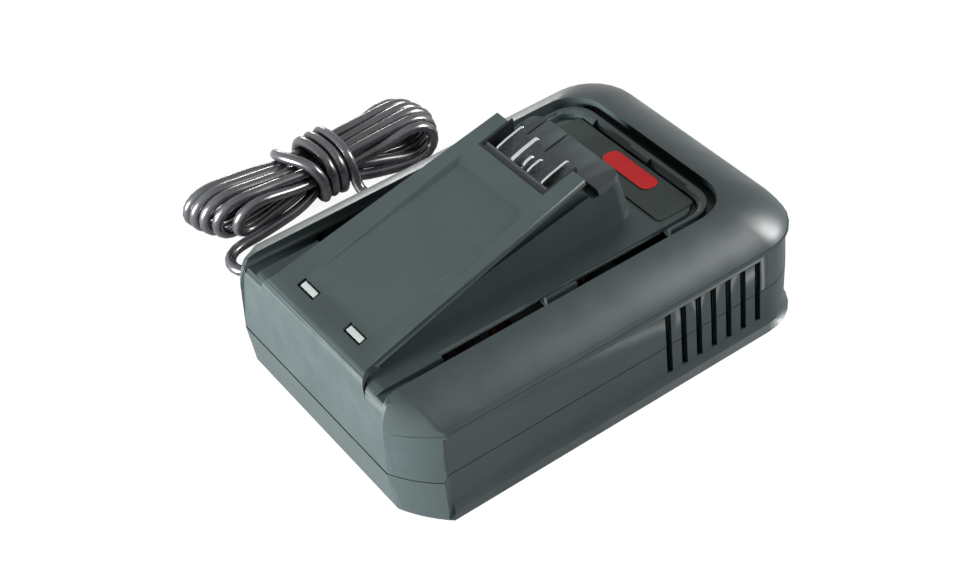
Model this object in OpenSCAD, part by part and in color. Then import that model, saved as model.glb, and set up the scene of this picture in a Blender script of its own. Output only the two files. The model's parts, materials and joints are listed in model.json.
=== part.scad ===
// Charger for slide-on power tool batteries: a two-part moulded case, a sloping dock with
// undercut rails and five contact blades, a power board inside, and a mains cord tied in a hank.
// The origin is on the floor under the middle of the case: +X to the vented right side,
// -Y to the lamp end, +Y to the high back end of the dock, +Z up.

/* [Case] */
// Length of the case from front to back
case_length = 188; // [168:1:226]
// Width of the case across its shoulders
case_width = 132.4; // [118:0.2:159]
// Height of the joint between base and cover
joint_height = 21.3; // [18:0.1:25]
// Height of the rim around the battery pocket
rim_height = 55.5; // [50:0.5:58]
// Depth of the pocket's floor below the rim
pocket_depth = 4; // [3:0.1:6]
// Thickness of the moulded walls
wall = 2.4; // [2:0.1:3]
// Radius of the upright rear corners
corner_radius = 21; // [17:0.5:25]
// How far the rubber feet lift the case
foot_lift = 1; // [0.8:0.1:2]

/* [Battery dock] */
// Slope of the rails in degrees
dock_slope = 14.7; // [12:0.1:16]
// Height of the rails' top at the middle of the case
dock_height = 77.2; // [72:0.1:84]
// Width over the rails at their high end
rail_width = 54.6; // [46:0.2:58]
// Thickness of the rails
rail_thick = 2.8; // [2.2:0.1:3.4]
// Distance of the two outer contact blades from the middle
blade_spread = 14; // [12:0.1:15.5]
// Thickness of a contact blade
blade_thick = 1; // [0.8:0.1:1.2]

/* [Vents and lamps] */
// Number of vents in each side
vent_count = 7; // [3:1:8]
// Width of one vent
vent_width = 2.7; // [2:0.1:3.2]
// Width of one lamp window
lamp_width = 10; // [8:0.1:12]
// Distance of a lamp window from the middle
lamp_spread = 15.8; // [10:0.1:20]

/* [Mains cord] */
// Diameter of the mains cord
cord_diameter = 4.8; // [4:0.1:5.6]
// Thickness of the plug
plug_thick = 13.6; // [12:0.1:15]

/* [Hidden] */

// Colours
case_grey = [0.24, 0.26, 0.26];
block_grey = [0.36, 0.38, 0.38];
black = [0.06, 0.06, 0.065];
steel = [0.72, 0.73, 0.74];

// Case
half_width = case_width / 2;
half_length = case_length / 2;
panel_in = 0.8;
panel_top = joint_height + 18.4;
corner_steps = 7;
side_shoulder = 18.2;
rear_shoulder = 24;
front_shoulder = 7.6;
front_lean = 8.3;
pocket_half = half_width - side_shoulder;
crease_x = pocket_half + 2;
bead_height = 1.3;
crease_y = half_length - 17.2;
pocket_rear = half_length - rear_shoulder;
floor_top = rim_height - pocket_depth;
floor_under = floor_top - wall;
base_floor = foot_lift + wall;
panel_front = -half_length + 17;
corner_out = 1.4;
joint_gap = 0.5;
joint_deep = 0.5;
fit_gap = 0.15;
post_radius = 4.6;

// Vents
vent_pitch = 7.3;
vent_start = half_length - corner_radius - 51.15 - (vent_count - 7) * vent_pitch;
vent_low = foot_lift + 6.3;
vent_high = joint_height + 15.3;

// Channel round the pocket's floor, and the rib that stands in it
channel_side = 8.8;
channel_rear = 9.7;
channel_bottom = floor_top - 1.3;
rib_top = floor_top + 2;
rib_gap = 3.8;
rib_side = 2.2;
rib_rear = 4.3;
rib_end = pocket_rear - 27.4;
tab_middle = [-15.5, -1.6];
tab_front = -half_length + 33.4;
groove_deep = 5;
groove_end = tab_front + 1;

// Dock
dock_rise = tan(dock_slope);
rail_end = pocket_rear - 51.5;
rail_half = rail_width / 2;
rail_half_front = rail_half + 5.1;
deck_slope = dock_slope - 3.2;
deck_height = dock_height - 8.1;
neck_half = rail_half - 4;
bay_half = neck_half - 2.9;
bay_front = 2.5;
frame_thick = 1.1;
rail_rear = rail_end / cos(dock_slope);
shelf_front = rail_end / cos(deck_slope);
shelf_rear = rail_end + 14.9;
shelf_half = rail_half + 0.7;
block_thick = 3;
pedestal_half = rail_half - 1.3;
pedestal_rear = shelf_rear + 8.1;
pedestal_front = -half_length + 10;
opening_half = bay_half - 3.6;
opening_start = 3.4;
opening_end = 22;
recess_depth = 2;
nose_radius = 5;
nose_center = -half_length + 8.9;
blade_length = 14;
blade_start = bay_front + 3.2;

// Screws, feet and board
screw_places = [for (sx = [1, -1], y = [-half_length + 14, pocket_rear - 17])
                [sx * (y < 0 ? pocket_half - 14 : pocket_half - 4), y]];
screw_radius = 1.45;
screw_seat = foot_lift + 9;
foot_radius = 6;
foot_places = [for (sx = [1, -1], sy = [1, -1])
               [sx * (half_width - 20), sy * (half_length - 22) + 3]];
foot_depth = 1;
board_bottom = 8;
board_thick = 1.6;
board_top = board_bottom + board_thick;
board_half = 50;
board_front = -62;
board_rear = 44;
pin_places = [[44, -56], [-44, -56], [44, 38], [-44, 38]];

// Lamp windows, in the dock's own slope
lamp_along = -(half_length - 14) / cos(dock_slope);
lamp_depth = 3.2;
lamp_gap = 0.6;
lamp_groove = 1.2;
lamp_board_drop = 14;
lamp_pipe = 9.4;

// Plate on the pocket's floor
plate_half = 36;
plate_front = pocket_rear - 26.4;
plate_rear = pocket_rear - 9;
stripe_side = 4.5;

// Mains cord
cord_radius = cord_diameter / 2;
exit_along = -30;
exit_height = 12;
exit_wall = half_width - panel_in + 0.35;
clamp_along = -exit_wall + 11;
clamp_screw_spread = 9;
clamp_bore = cord_radius + 0.05;
tail_end = -exit_wall + 18.5;
sleeve_tip = exit_wall + 14.5;
cord_sides = 8;

// The cord lies on the floor in front of the hank, then runs on from the hank to the plug
beside = -half_width - 20;
cord_route = [
    [-sleeve_tip, exit_along, exit_height], [-sleeve_tip - 4, exit_along, exit_height],
    [-sleeve_tip - 11, exit_along - 4, 9.5], [-sleeve_tip - 17, exit_along - 12, 6.5],
    [beside - 13.8, -52, 4.5], [beside - 14.3, -60, 4], [beside - 16.8, -68, 4],
    [beside - 22.8, -71, 4], [beside - 28.8, -67, 4.5]
];
plug_route = [
    [beside - 17.8, -14, 4.5], [beside - 13.8, -4, 4.5], [beside - 8.8, 5, 5],
    [beside - 3.8, 13, 6.3], [beside - 1.8, 21, plug_thick / 2], [beside - 1.8, 27, plug_thick / 2]
];

// Hank
hank_center = [beside - 41.8, -17.5];
hank_length = 117;
hank_width = 52;
hank_height = 16;
tie_length = 24;
tie_width = 29;
tie_height = 25;
tie_along = 4.5;

// Plug
plug_place = [beside - 1.8, 27];
plug_length = 35;
plug_width = 35;
pin_spread = 9.3;
pin_radius = 2;
pin_length = 19;

// ---- Shape functions ----

// Points of an arc
function arc(center, radius, from, to, steps) =
    [for (i = [0 : steps]) let (a = from + (to - from) * i / steps)
     center + radius * [cos(a), sin(a)]];

// Outline of a box with round corners: half width, front, rear, front and rear radius
function outline(w, f, r, rf, rr, steps = corner_steps) = concat(
    arc([w - rf, -f + rf], rf, -90, 0, steps),
    arc([w - rr, r - rr], rr, 0, 90, steps),
    arc([-w + rr, r - rr], rr, 90, 180, steps),
    arc([-w + rf, -f + rf], rf, 180, 270, steps));

// Points of a shallow bow between two points
function bow(from, to, rise) = let (across = to - from, out = [across[1], -across[0]] / norm(across))
    [for (i = [0 : corner_steps]) let (t = i / corner_steps)
     from + across * t + out * rise * 4 * t * (1 - t)];

// A level is [height, half width, front, rear, crease x, crease y, rear radius, corner bow].
// Its front corners are shallow bows between two creases.
function level_outline(l) = concat(
    bow([l[4], -l[2]], [l[1], -l[5]], l[7]),
    arc([l[1] - l[6], l[3] - l[6]], l[6], 0, 90, corner_steps),
    arc([-l[1] + l[6], l[3] - l[6]], l[6], 90, 180, corner_steps),
    bow([-l[1], -l[5]], [-l[4], -l[2]], l[7]));

// The same level, moved in by a distance
function inset(l, d, lift = 0) = [l[0] + lift, l[1] - d, l[2] - d, l[3] - d, l[4] - 0.41 * d,
                                  l[5] - 0.41 * d, l[6] - d, l[7]];

function raised(l, lift) = inset(l, 0, lift);

// How far out the shoulder still is at a share of its height
function bulge(share, power) = pow(max(0, 1 - pow(share, power)), 1 / power);

// Level of the shoulder, which rolls in from the side panels to the rim
function shoulder_level(share) = let (
    in_side = (side_shoulder + 1.5) * (1 - bulge(share, 1.4)),
    in_back = (rear_shoulder + 0.8) * (1 - bulge(share, 1.72)),
    in_nose = front_shoulder * (1 - bulge(share, 1.8)),
    side = half_width - in_side)
    [panel_top + (rim_height + 0.1 - panel_top) * share, side, half_length - 1.3 - in_nose,
     half_length + 0.2 - in_back, min(crease_x, side - 2.5), crease_y + 6.8 * share * share,
     corner_radius + 1 - 7.8 * share * share, 1.2 - 0.9 * share];

// Height of the deck, the top of the pedestal under the rails
function deck_at(y, drop = 0) = deck_height - drop + y * tan(deck_slope);

// [y, z] of a point given by its distance along and above the rails' top, or the deck
function slope_point(along, up, slope, height) =
    [along * cos(slope) - up * sin(slope), height + along * sin(slope) + up * cos(slope)];
function dock_point(along, up) = slope_point(along, up, dock_slope, dock_height);
function deck_point(along, up) = slope_point(along, up, deck_slope, deck_height);

// Point where a wall square to the rails meets the floor of the bay
function bay_foot(along, drop) = let (lean = dock_slope - deck_slope)
    dock_point(along, -(drop + (dock_height - deck_height) * cos(deck_slope) + along * sin(lean))
                      / cos(lean));

function unit(v) = v / norm(v);

// Direction of a route at one of its points
function heading(route, i) = unit(route[min(i + 1, len(route) - 1)] - route[max(i - 1, 0)]);

// Points of a smooth curve through a route
function spline_point(a, b, c, d, t) =
    0.5 * (2 * b + (c - a) * t + (2 * a - 5 * b + 4 * c - d) * t * t
           + (3 * b - a - 3 * c + d) * t * t * t);
function smooth(route, steps) = let (last = len(route) - 1) concat(
    [for (i = [0 : last - 1], k = [0 : steps - 1])
     spline_point(i > 0 ? route[i - 1] : 2 * route[0] - route[1], route[i], route[i + 1],
                  i + 2 <= last ? route[i + 2] : 2 * route[last] - route[last - 1], k / steps)],
    [route[last]]);

// ---- Shape modules ----

// Solid through rings that all have the same number of points
module skin(rings) {
    count = len(rings[0]);
    last = len(rings) - 1;
    points = [for (r = rings) each r];
    sides = [for (k = [0 : last - 1], i = [0 : count - 1])
             let (a = k * count + i, b = k * count + (i + 1) % count)
             each [[a, a + count, b], [b, a + count, b + count]]];
    caps = [[for (i = [0 : count - 1]) i], [for (i = [count - 1 : -1 : 0]) last * count + i]];
    polyhedron(points = points, faces = concat(sides, caps), convexity = 8);
}

module loft(levels) {
    skin([for (l = levels) [for (p = level_outline(l)) [p[0], p[1], l[0]]]]);
}

// Round tube along a smooth route; its ends are square to the first and last stretch
module tube(route, radius, steps, sides) {
    path = smooth(route, steps);
    last = len(path) - 1;
    skin([for (i = [0 : last])
          let (along = i == 0 ? unit(route[1] - route[0])
                     : i == last ? unit(route[len(route) - 1] - route[len(route) - 2])
                     : heading(path, i),
               across = unit(cross(along, [0, 0, 1])),
               up = cross(across, along))
          [for (s = [0 : sides - 1])
           path[i] + radius * (across * cos(360 * s / sides) - up * sin(360 * s / sides))]]);
}

module block(x, y, z) {
    translate([x[0], y[0], z[0]]) cube([x[1] - x[0], y[1] - y[0], z[1] - z[0]]);
}

module both_sides() {
    children();
    mirror([1, 0, 0]) children();
}

// Places its children in the slope of the rails, with z = 0 in the rails' top
module on_dock() {
    translate([0, 0, dock_height]) rotate([dock_slope, 0, 0]) children();
}

// Places its children in the slope of the deck under the rails
module on_deck() {
    translate([0, 0, deck_height]) rotate([deck_slope, 0, 0]) children();
}

// Plate on the deck or dock, given by its outline
module plate(bottom, top, points) {
    translate([0, 0, bottom]) linear_extrude(top - bottom) polygon(points);
}

// Cut along X through a profile of [y, z] points
module side_profile(half, points) {
    rotate([90, 0, 90]) translate([0, 0, -half]) linear_extrude(2 * half) polygon(points);
}

// ---- Case ----

// Levels of the case above and below the joint, without the panel recess
joint_level = [joint_height, half_width + corner_out, half_length + 0.3, half_length - 0.2, crease_x,
               crease_y + 4.2, corner_radius, 1.2];
foot_levels = [
    [foot_lift, half_width + 2.2, half_length - 1.9, half_length - 2.9, crease_x + 0.5,
     crease_y + 2.7, corner_radius + 1, 1],
    [foot_lift + 1.2, half_width + 3.1, half_length - 1.4, half_length - 2, crease_x + 0.5,
     crease_y + 3, corner_radius + 1, 1.1]
];
lower_levels = concat(foot_levels, [
    [foot_lift + 5.5, half_width + 1.9, half_length - 1, half_length - 1.2, crease_x + 0.2,
     crease_y + 3.6, corner_radius, 1.2],
    joint_level
]);
shoulder_shares = [0.09, 0.15, 0.24, 0.36, 0.49, 0.62, 0.74, 0.84, 0.92, 0.97, 1];
// The shoulder starts with a low upright bead
upper_levels = concat([joint_level, shoulder_level(0), raised(shoulder_level(0), bead_height)],
                      [for (share = shoulder_shares) shoulder_level(share)]);

// Levels of the recessed side and back panels
panel_joint = [joint_height, half_width - panel_in, half_length - 1.8, half_length - 1.5,
               crease_x - 1, crease_y + 2, corner_radius - 1, 1.5];
panel_levels = concat(foot_levels, [
    [foot_lift + 2.6, half_width + 0.8, half_length - 3, half_length - 2.4, crease_x - 1,
     crease_y + 1, corner_radius - 1, 1.3],
    [foot_lift + 6, half_width - 0.6, half_length - 3, half_length - 2.2, crease_x - 1,
     crease_y + 1, corner_radius - 1, 1.3],
    panel_joint,
    inset(panel_joint, 0.4, panel_top + 1 - joint_height)
]);

// Plan of the recess: it starts behind the front corners and leaves the middle of the back proud
module recess_plan() {
    difference() {
        polygon([[-half_width + 1.2, panel_front], [half_width - 1.2, panel_front],
                 [half_width + 2, panel_front - 4.8], [half_width + 30, panel_front - 4.8],
                 [half_width + 30, half_length + 30], [-half_width - 30, half_length + 30],
                 [-half_width - 30, panel_front - 4.8], [-half_width - 2, panel_front - 4.8]]);
        polygon([[-42, 0], [42, 0], [38, half_length + 31], [-38, half_length + 31]]);
    }
}

module panel_recess(bottom, top) {
    difference() {
        translate([0, 0, bottom]) linear_extrude(top - bottom) recess_plan();
        loft(panel_levels);
    }
}

// Plan of the case at the joint, with its recessed panels
module joint_plan() {
    difference() {
        polygon(level_outline(joint_level));
        difference() {
            recess_plan();
            polygon(level_outline(panel_joint));
        }
    }
}

// Fine groove where base and cover meet
module joint_groove() {
    translate([0, 0, joint_height - joint_gap / 2]) linear_extrude(joint_gap) difference() {
        square(2 * case_length, center = true);
        offset(delta = -joint_deep) joint_plan();
    }
}

module vents() {
    for (i = [0 : vent_count - 1])
        both_sides() block([half_width - 8, half_width + 4],
                           [vent_start + i * vent_pitch, vent_start + i * vent_pitch + vent_width],
                           [vent_low, vent_high]);
}
// Level of the hollow inside: the case's level moved in, with its own front
function hollow_level(l, d, lift, front) = [l[0] + lift, l[1] - d, front, l[3] - d, l[4] - 2,
                                            min(l[5], front - 10), l[6] - d, l[7]];

module lower_hollow() {
    loft([hollow_level(panel_levels[3], wall + 1, base_floor - foot_lift - 6, half_length - 5.5),
          hollow_level(panel_joint, wall, -8, half_length - 4.4),
          hollow_level(panel_joint, wall, 1, half_length - 4.4)]);
}

module lower_housing() color(case_grey) {
    difference() {
        union() {
            difference() {
                loft(lower_levels);
                panel_recess(foot_lift - 1, joint_height + 1);
                lower_hollow();
            }
            joint_lip();
            for (p = screw_places) translate([p[0], p[1], foot_lift + 1])
                cylinder(h = joint_height - foot_lift - 1, r = post_radius, $fn = 32);
            for (p = pin_places) translate([p[0], p[1], foot_lift + 1]) {
                cylinder(h = board_bottom - foot_lift - 1, r = 3.4, $fn = 24);
                cylinder(h = board_top + 1 - foot_lift - 1, r = 1.3, $fn = 24);
            }
            for (s = [1, -1])
                translate([clamp_along, exit_along + s * clamp_screw_spread, foot_lift + 1])
                    cylinder(h = exit_height - cord_radius - foot_lift - 1, r = 3, $fn = 24);
            // Ribs that stiffen the floor and stop the board
            for (s = [1, -1]) block([s * 20 - 0.8, s * 20 + 0.8], [-half_length + 10, board_front - 0.3],
                                    [foot_lift + 1, base_floor + 7]);
        }
        vents();
        joint_groove();
        for (p = screw_places) translate([p[0], p[1], 0]) {
            translate([0, 0, -1]) cylinder(h = joint_height + 2, r = screw_radius + 0.35, $fn = 32);
            translate([0, 0, -1]) cylinder(h = screw_seat + 1, r = 3.4, $fn = 32);
        }
        for (p = foot_places) translate([p[0], p[1], -1])
            cylinder(h = foot_lift + foot_depth + 1, r = foot_radius + 0.1, $fn = 40);
        for (s = [1, -1])
            translate([clamp_along, exit_along + s * clamp_screw_spread, foot_lift + 2])
                cylinder(h = 20, r = 1.1, $fn = 24);
        // Hole and flat seat of the strain relief
        translate([-exit_wall, exit_along, exit_height]) rotate([0, -90, 0]) {
            translate([0, 0, -10]) cylinder(h = 20, r = 5, $fn = 40);
            cylinder(h = 10, r = 7, $fn = 40);
        }
    }
}

// Thin lip on the base that locates the cover
module joint_lip() {
    translate([0, 0, joint_height - 3]) linear_extrude(3) lip_plan(0.2);
    translate([0, 0, joint_height - 0.1]) linear_extrude(1.7) lip_plan(-0.15);
}

module lip_plan(out) {
    difference() {
        polygon(level_outline(hollow_level(panel_joint, wall - out, 0, half_length - 4.4 + out)));
        polygon(level_outline(hollow_level(panel_joint, wall + 1.4, 0, half_length - 5.8)));
    }
}

// Pocket outline, open at the front, moved in at its sides and at its rear
function pocket_outline(side, rear, radius) = concat(
    [[-pocket_half + side, -half_length - 20], [pocket_half - side, -half_length - 20]],
    arc([pocket_half - side - radius, pocket_rear - rear - radius], radius, 0, 90, 8),
    arc([-pocket_half + side + radius, pocket_rear - rear - radius], radius, 90, 180, 8));
pocket = pocket_outline(0, 0, 15);
rib_outside = pocket_outline(rib_gap, rib_gap, 11.5);

// Channel between the pocket's floor and the rim; beside the front of the dock it is only a groove
module channel_plan() {
    difference() {
        polygon(pocket);
        polygon(pocket_outline(channel_side, channel_rear, 8));
        translate([-200, -half_length - 30]) square([400, tab_front + half_length + 30]);
    }
    difference() {
        polygon(pocket);
        polygon(pocket_outline(rib_gap + rib_side, channel_rear, 8));
    }
}

// Rib in the channel: all along the back, and as one short tab at each side
module pocket_rib() {
    difference() {
        translate([0, 0, channel_bottom - 0.5]) linear_extrude(rib_top - channel_bottom + 0.5)
            polygon(rib_outside);
        skin([for (l = [[-1, 0], [1, 0], [1.1, 1]])
              [for (p = pocket_outline(rib_gap + rib_side - 0.8 * l[1],
                                       rib_gap + rib_rear - 1.6 * l[1], 8))
               [p[0], p[1], l[1] == 1 ? rib_top + 0.2 : l[0] < 0 ? channel_bottom - 1 : rib_top - 1]]]);
        for (y = [[-half_length - 30, tab_middle[0]], [tab_middle[1], rib_end]])
            block([-200, 200], y, [channel_bottom - 1, rim_height]);
    }
}

// Air slots through the bottom of the channel
module channel_slots() {
    both_sides() {
        for (y = [[tab_front + 0.4, tab_middle[0]], [tab_middle[1], rib_end]])
            block([pocket_half - channel_side, pocket_half], y, [floor_under - 8, floor_top]);
        block([5.8, 28], [pocket_rear - channel_rear, pocket_rear - rib_gap - 1.9],
              [floor_under - 1, rim_height]);
    }
}

// How far forward the leaning front is at a height
function face_at(z) = -half_length + 2.2 + (z - panel_top) * tan(front_lean);

// Leaning front of the dock: everything before it is cut away between the front corners
module front_cut() {
    intersection() {
        side_profile(half_width, concat(
            [[-half_length - 20, joint_height - 1], [-half_length - 0.3, joint_height - 1],
             [-half_length, joint_height], [face_at(panel_top), panel_top],
             [face_at(rim_height - 8), rim_height - 8]],
            arc([nose_center, dock_height + dock_rise * nose_center - nose_radius / cos(dock_slope)],
                nose_radius, 170.5, 90 + dock_slope, 6),
            [[-half_length + 7.6, rim_height + 10], [-half_length - 20, rim_height + 10]]));
        linear_extrude(rim_height + 20) polygon([
            [-crease_x - 2.5, -half_length - 3], [crease_x + 2.5, -half_length - 3],
            [pocket_half, -half_length + 4], [pocket_half, -half_length + 20],
            [-pocket_half, -half_length + 20], [-pocket_half, -half_length + 4]]);
    }
}

// Round front edge of the pocket's floor, which runs smoothly into the leaning front
module floor_nose() {
    radius = 6;
    start = [-radius * cos(front_lean), radius * sin(front_lean)];
    center = [face_at(floor_top - radius + start[1]) - start[0], floor_top - radius];
    side_profile(pocket_half, concat(
        [[-half_length - 10, rim_height + 4], [-half_length - 10, center[1] + start[1]]],
        arc(center, radius, 180 - front_lean, 90, 6),
        [[center[0], rim_height + 4]]));
}

// Groove beside the front of the dock: it rises to the pocket's floor at the front
module front_groove(around, drop) {
    both_sides() translate([pocket_half - rib_gap - rib_side - around, 0, 0]) rotate([90, 0, 90])
        linear_extrude(rib_gap + rib_side + 2 * around) polygon([
            [-half_length + 10, floor_top - drop], [groove_end + drop, floor_top - groove_deep - drop],
            [groove_end + drop, floor_top + 1 - 2 * drop], [-half_length + 10, floor_top + 1 - 2 * drop]]);
}

module cover_hollow() {
    loft([hollow_level(panel_joint, wall, -1, half_length - 4.4),
          hollow_level(panel_joint, wall + 0.3, 15, half_length - 5),
          hollow_level(shoulder_level(0.42), wall + 0.6, -1.6, half_length - 6),
          hollow_level(shoulder_level(0.74), wall + 0.9, -2.35, half_length - 8)]);
}

// Pedestal under the rails: flat foot, sloping deck
module pedestal(in, bottom, drop) {
    foot = outline(pedestal_half - in, -pedestal_front - in, pedestal_rear - in,
                   7 - in / 2, 7 - in / 2);
    deck = outline(shelf_half - 0.6 - in, -pedestal_front - in, shelf_rear - in,
                   5 - in / 2, 5 - in / 2);
    skin([[for (p = foot) [p[0], p[1], bottom]], [for (p = deck) [p[0], p[1], deck_at(p[1], drop)]]]);
}

// Rail plate: it narrows to its high end and flares where it runs out into the front
function rail_edge(side) = [for (t = [0 : 0.2 : 1])
    [side * (rail_half_front + 8.6 * t * t), (-half_length + 9.5 - 11 * t) / cos(dock_slope)]];
rail_outline = concat(arc([rail_half - 2, rail_rear - 2], 2, 0, 90, 3),
                      arc([-rail_half + 2, rail_rear - 2], 2, 90, 180, 3),
                      rail_edge(-1), [for (i = [5 : -1 : 0]) rail_edge(1)[i]]);

// Shallow tray in the top of the rails: it ends in a sloping step in front of the contacts
module tray() {
    front = half_length - 17;
    skin([[for (p = outline(bay_half - 0.3, front, -7, 1, 3))
           [p[0], p[1], -recess_depth * (p[1] + front) / (front - 7)]],
          [for (p = outline(bay_half + 2.4, front + 1, -0.2, 1, 5)) [p[0], p[1], 1]]]);
}

module tongue() {
    on_dock() {
        difference() {
            plate(-rail_thick, 0, rail_outline);
            tray();
        }
        // The flared front end is solid down to the case's front
        difference() {
            plate(-16, -rail_thick, rail_outline);
            block([-80, 80], [-half_length + 9.5, 80], [-17, 0]);
        }
    }
    // Neck that carries the rails on the deck
    difference() {
        side_profile(neck_half, [[pedestal_front, floor_under], [rail_end, floor_under],
                                 [rail_end, dock_height + rail_end * dock_rise - 1],
                                 [pedestal_front, dock_height + pedestal_front * dock_rise - 1]]);
        on_dock() block([-60, 60], [-120, 60], [-rail_thick + 0.4, 20]);
    }
}

module dock_hollow() {
    pedestal(wall, floor_under - 4, block_thick + wall + 0.4);
    on_dock() block([-bay_half - 0.5, bay_half + 0.5], [lamp_along + 9, bay_front - 2],
                    [-22, -recess_depth - wall - 0.4]);
}

// Side section of the bay from its front wall to behind the rails
function bay_section(front, drop, top) = [
    bay_foot(front, drop), deck_point(shelf_front + 5, -drop), deck_point(shelf_front + 5, top + 10),
    dock_point(front, top)];

// Space for the contact block: the bay between the rails and the shelf behind them
module bay_cut() {
    side_profile(bay_half, bay_section(bay_front, block_thick, 20));
    on_deck() {
        block([-40, 40], [shelf_front, 60], [-block_thick, 20]);
        block([-opening_half, opening_half], [bay_front + opening_start, bay_front + opening_end],
              [-12, 1]);
    }
}

// Holes for the lamp windows, with a fine groove round each window
module lamp_holes() {
    on_dock() both_sides() for (hole = [[lamp_gap, -lamp_groove], [0.05, -16]])
        block([lamp_spread - lamp_width / 2 - hole[0], lamp_spread + lamp_width / 2 + hole[0]],
              [lamp_along - lamp_depth / 2 - hole[0], lamp_along + lamp_depth / 2 + hole[0]],
              [hole[1], 5]);
}

module upper_housing() color(case_grey) {
    difference() {
        union() {
            difference() {
                union() {
                    difference() {
                        loft(upper_levels);
                        plate(floor_top, rim_height + 10, pocket);
                        translate([0, 0, channel_bottom]) linear_extrude(10) channel_plan();
                        floor_nose();
                        panel_recess(joint_height - 1, panel_top);
                    }
                    pocket_rib();
                    pedestal(0, floor_under, 0);
                    tongue();
                }
                cover_hollow();
                dock_hollow();
            }
            front_groove(1.4, 1.4);
        }
        front_cut();
        front_groove(0, 0);
        channel_slots();
        bay_cut();
        lamp_holes();
        vents();
        joint_groove();
    }
    for (p = screw_places) translate([p[0], p[1], joint_height]) difference() {
        cylinder(h = floor_under + 0.5 - joint_height, r = post_radius - 0.2, $fn = 32);
        translate([0, 0, -1]) cylinder(h = 14, r = screw_radius + 0.05, $fn = 32);
    }
    // Posts for the lamp board
    on_dock() both_sides() translate([4, lamp_along + 7, -lamp_board_drop + board_thick])
        cylinder(h = 8.2, r = 2.2, $fn = 24);
}

// ---- Contacts ----

// Black frame round the contact block: a bar in front of it and a cheek along each rail
module contact_frame() color(black) {
    difference() {
        side_profile(bay_half - 0.05, [
            bay_foot(bay_front + 0.05, block_thick), deck_point(shelf_front, -block_thick),
            deck_point(shelf_front, 0), dock_point(rail_rear, -0.1),
            dock_point(bay_front + 0.05, -0.1)]);
        side_profile(bay_half - frame_thick, bay_section(bay_front + frame_thick, block_thick + 1, 5));
    }
}

// Each blade: distance from the middle, thickness, drop below the rails' top, start and length
blades = [
    [-blade_spread, blade_thick, 0.7, 0, blade_length],
    [-blade_spread * 0.32, blade_thick + 0.8, 0.7, 0, blade_length],
    [0, blade_thick + 0.4, 2.1, 1.6, 6],
    [blade_spread * 0.32, blade_thick, 1.4, 0.2, 8.2],
    [blade_spread, blade_thick, 0.7, 0, blade_length]
];

// Side view of a blade: an arched top edge that drops towards the front
module blade_profile(b, grow) {
    start = blade_start + b[3];
    end = start + b[4];
    polygon([[start - 1 - grow, -22], [start - 1 - grow, -b[2] - 2.6], [start, -b[2] - 1.1],
             [start + 1.5, -b[2] - 0.4], [start + b[4] * 0.4, -b[2]], [end - 1.2, -b[2] + 0.1],
             [end - 0.2, -b[2] - 0.3], [end + grow, -b[2] - 1.4], [end + grow, -22]]);
}

module blade_shape(b, grow) {
    on_dock() rotate([90, 0, 90]) translate([0, 0, b[0] - b[1] / 2 - grow])
        linear_extrude(b[1] + 2 * grow) blade_profile(b, grow);
}

module blade(i) color(steel) {
    difference() {
        blade_shape(blades[i], 0);
        // Narrow solder tail below the block
        on_dock() block([-40, 40], [blade_start + blades[i][3] + 3, 60], [-40, -18.5]);
    }
}

module contact_block() color(block_grey) {
    inner_half = bay_half - frame_thick - 0.05;
    bar_front = bay_front + frame_thick + 0.05;
    plate_start = bar_front + 3.5;
    shelf_end = shelf_rear / cos(deck_slope) - 0.4;
    difference() {
        union() {
            on_deck() plate(-block_thick, 0, concat(
                [[inner_half, plate_start], [inner_half, shelf_front + 3.8],
                 [shelf_half - 0.6, shelf_front + 3.8]],
                arc([shelf_half - 4.1, shelf_end - 3.5], 3.5, 0, 90, 6),
                arc([-bay_half + 1, shelf_end - 1], 1, 90, 180, 3),
                [[-bay_half, shelf_front + 0.1], [-inner_half, shelf_front + 0.1],
                 [-inner_half, plate_start]]));
            // Bar in front of the blades
            side_profile(inner_half, [
                dock_point(bar_front, -0.8), bay_foot(bar_front, block_thick - 0.6),
                bay_foot(blade_start + 0.2, block_thick - 0.6), dock_point(blade_start + 0.2, -0.8)]);
            on_deck() block([-opening_half + fit_gap, opening_half - fit_gap],
                            [bay_front + opening_start + 0.2, bay_front + opening_end - 0.2],
                            [-8.5, -0.4]);
        }
        for (b = blades) blade_shape(b, 0.05);
        // Guide grooves that run back across the shelf
        on_deck() for (x = [-blade_spread * 0.32, -bay_half + 3.1])
            block([x - 0.5, x + 0.5], [rail_end - 2, 60], [-1.2, 2]);
    }
}

module contact_board() color([0.05, 0.3, 0.15]) {
    difference() {
        on_deck() block([-opening_half + 1, opening_half - 1], [bay_front + 3.4, bay_front + 22],
                        [-8.5 - board_thick, -8.5]);
        for (b = blades) blade_shape(b, 0.05);
    }
}

// Flat lead from the contact board down to the power board
module contact_lead() color([0.75, 0.2, 0.15]) {
    translate([2, 0, 0]) rotate([90, 0, 90]) linear_extrude(10) polygon([
        [bay_front + 21, board_top], [bay_front + 22.2, board_top], [bay_front + 22.2, 50],
        [bay_front + 19.2, deck_at(bay_front + 19.2, 10.32)],
        [bay_front + 18, deck_at(bay_front + 18, 10.32)], [bay_front + 21, 49.7]]);
}

// ---- Lamps ----

module lamp_window(side) color([0.85, 0.87, 0.85]) {
    on_dock() translate([side * lamp_spread, lamp_along, 0])
        block([-lamp_width / 2, lamp_width / 2], [-lamp_depth / 2, lamp_depth / 2],
              [-lamp_pipe, 0]);
}

module lamp(side) color([0.9, 0.9, 0.85]) {
    on_dock() translate([side * lamp_spread, lamp_along, -lamp_board_drop + board_thick]) {
        cylinder(h = 1.2, r = 1.9, $fn = 24);
        cylinder(h = lamp_board_drop - board_thick - lamp_pipe, r = 1.5, $fn = 24);
    }
}

module lamp_board() color([0.05, 0.3, 0.15]) {
    on_dock() block([-lamp_spread - 5, lamp_spread + 5], [lamp_along - 4, lamp_along + 10],
                    [-lamp_board_drop, -lamp_board_drop + board_thick]);
}

// ---- Pocket plate ----

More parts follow.
